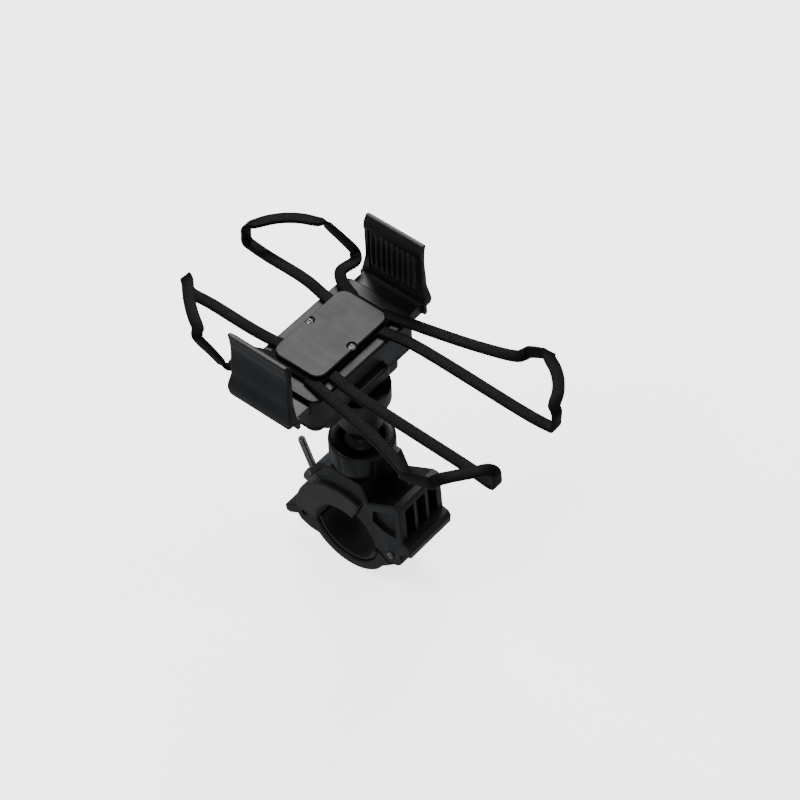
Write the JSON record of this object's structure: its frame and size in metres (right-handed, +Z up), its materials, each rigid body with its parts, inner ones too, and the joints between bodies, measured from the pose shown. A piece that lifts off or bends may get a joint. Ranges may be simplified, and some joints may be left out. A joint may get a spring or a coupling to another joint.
{
  "type": "phone mount",
  "caption": "Handlebar phone mount: hinged clamp with swing bolt, ball joint with locking ring, cradle with geared sliding jaws and a silicone band over the phone's corners.",
  "frame": {"origin": "on the handlebar's axis, at the middle of the clamp's width", "axes": "+X along the handlebar to the rider's right, +Y forward, +Z up"},
  "size_m": [0.076, 0.142, 0.1296],
  "materials": {
    "plastic": "fine-textured black moulded nylon, satin",
    "rubber": "matte black moulded rubber",
    "shim_rubber": "matte dark grey rubber",
    "silicone": "soft-gloss black silicone",
    "black_steel": "black oxide steel",
    "steel": "bright steel",
    "acetal": "natural acetal"
  },
  "bodies": {
    "clamp": {"clamp_upper": "plastic", "shim_upper": "shim_rubber", "hinge_pin": "black_steel"},
    "lower_arm": {"clamp_lower": "plastic", "shim_lower": "shim_rubber", "bolt_pivot_pin": "black_steel"},
    "bolt": {"swing_bolt": "black_steel"},
    "washer": {"bolt_washer": "black_steel"},
    "nut": {"tension_nut": "black_steel"},
    "locking_ring": {"ring_nut": "plastic"},
    "seat": {"ball_seat": "rubber"},
    "stud": {"ball_stud": "plastic", "stud_screw": "steel"},
    "cradle": {"cradle_housing": "plastic", "back_cover": "plastic", "cover_screw_1": "black_steel", "cover_screw_2": "black_steel", "cover_screw_3": "black_steel", "cover_screw_4": "black_steel", "front_plate": "plastic", "plate_screw_1": "black_steel", "plate_screw_2": "black_steel", "silicone_band": "silicone", "gear_pin": "steel", "left_spring": "steel", "right_spring": "steel", "button_spring": "steel"},
    "left_grip": {"left_jaw": "plastic", "left_pad": "rubber"},
    "right_grip": {"right_jaw": "plastic", "right_pad": "rubber"},
    "gear": {"drive_gear": "acetal"},
    "button": {"release_button": "plastic"}
  },
  "joints": [
    {"name": "nut_travel", "type": "slide", "parent": "bolt", "child": "washer", "axis": [0, 0.3746, 0.9272], "range_m": [0, 0.01233]},
    {"name": "nut_spin", "type": "hinge", "parent": "washer", "child": "nut", "pos_m": [0, 0.02036, -0.00553], "axis": [0, 0.3746, 0.9272], "range_deg": [0, 8890]},
    {"name": "arm_hinge", "type": "hinge", "parent": "clamp", "child": "lower_arm", "pos_m": [0, -0.0215, 0.0025], "axis": [-1, 0, 0], "range_deg": [0, 15.4]},
    {"name": "bolt_swing", "type": "hinge", "parent": "lower_arm", "child": "bolt", "pos_m": [0, 0.02036, -0.00553], "axis": [-1, 0, 0], "range_deg": [0, 50]},
    {"name": "ring_turn", "type": "hinge", "parent": "clamp", "child": "locking_ring", "pos_m": [0, 0, 0.0375], "axis": [0, 0, 1], "range_deg": [0, 180]},
    {"name": "ball_swivel", "type": "hinge", "parent": "clamp", "child": "seat", "pos_m": [0, 0, 0.0375], "axis": [0, 0, 1], "continuous": true},
    {"name": "ball_tilt", "type": "hinge", "parent": "seat", "child": "stud", "pos_m": [0, 0, 0.0375], "axis": [1, 0, 0], "range_deg": [-18, 18]},
    {"name": "cradle_spin", "type": "hinge", "parent": "stud", "child": "cradle", "pos_m": [0, 0, 0.0375], "axis": [0, 0, 1], "continuous": true},
    {"name": "left_slide", "type": "slide", "parent": "cradle", "child": "left_grip", "axis": [-1, 0, 0], "range_m": [-0.006, 0.01], "deforming": ["left_spring"]},
    {"name": "right_slide", "type": "slide", "parent": "cradle", "child": "right_grip", "axis": [1, 0, 0], "range_m": [-0.0062, 0.0102], "deforming": ["right_spring"]},
    {"name": "gear_spin", "type": "hinge", "parent": "cradle", "child": "gear", "pos_m": [0, 0.012, 0.08], "axis": [0, 0, 1], "range_deg": [-60, 98]},
    {"name": "button_press", "type": "slide", "parent": "cradle", "child": "button", "axis": [0, 1, 0], "range_m": [0, 0.0025], "stiffness_N_per_m": 300, "springref_m": -0.002, "deforming": ["button_spring"]}
  ],
  "couplings": [
    {"joint": "nut_spin", "follows": "nut_travel", "rad_per_m": 12566},
    {"joint": "arm_hinge", "follows": "nut_travel", "rad_per_m": 21.6},
    {"joint": "right_slide", "follows": "left_slide", "ratio": 1},
    {"joint": "gear_spin", "follows": "left_slide", "rad_per_m": 166.67}
  ]
}
